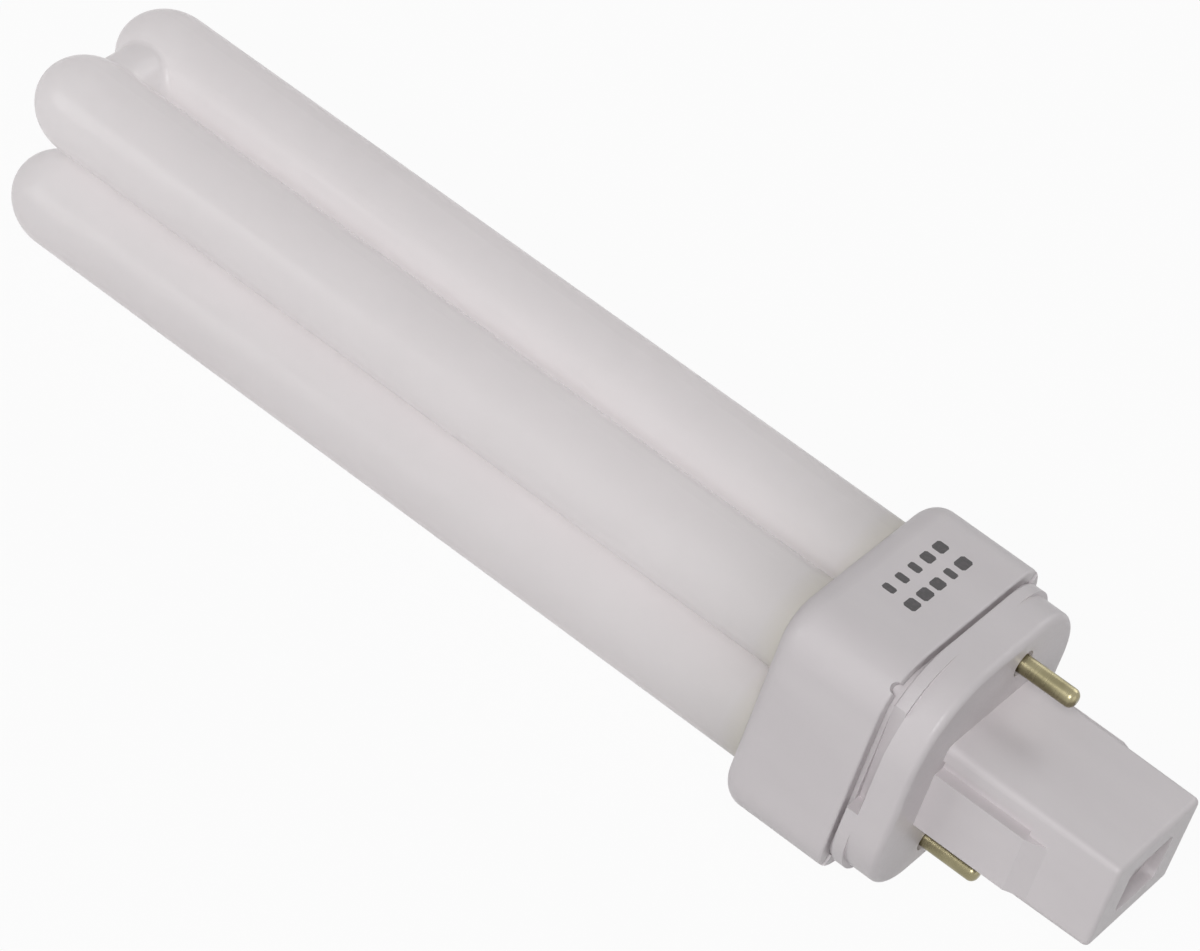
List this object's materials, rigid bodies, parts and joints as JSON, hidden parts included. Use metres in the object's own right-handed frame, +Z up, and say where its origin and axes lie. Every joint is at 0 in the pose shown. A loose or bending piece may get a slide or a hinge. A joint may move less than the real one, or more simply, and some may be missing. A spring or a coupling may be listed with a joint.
{
  "type": "compact fluorescent bulb",
  "caption": "Plug-in compact fluorescent bulb: bridged white glass legs in a square white housing, with a keyed post and brass contact pins.",
  "frame": {"origin": "on the surface that the bulb lies on, under the middle of its overall length", "axes": "+X along the bulb's axis, from the far ends of the glass legs to the end of the post; +Z up, out of the housing side that faces up; -Y is the side with the electrode legs"},
  "size_m": [0.1536, 0.0314, 0.0313],
  "materials": {
    "coated_glass": "clear glass over a white coat, polished",
    "white_plastic": "satin moulding",
    "pin_brass": "turned and polished",
    "cement": "cast, rough",
    "starter_glass": "blown, smooth",
    "capacitor_dip": "dipped resin",
    "lead_wire": "drawn, nickel plated"
  },
  "bodies": {
    "root": {"discharge_tube": "coated_glass", "tube_housing": "white_plastic", "basing_cement": "cement", "base_cap": "white_plastic", "contact_pin_upper": "pin_brass", "contact_pin_lower": "pin_brass", "glow_starter": "starter_glass", "starter_capacitor": "capacitor_dip", "pin_lead_upper": "lead_wire", "pin_lead_lower": "lead_wire", "starter_lead_upper": "lead_wire", "starter_lead_lower": "lead_wire"}
  },
  "joints": []
}
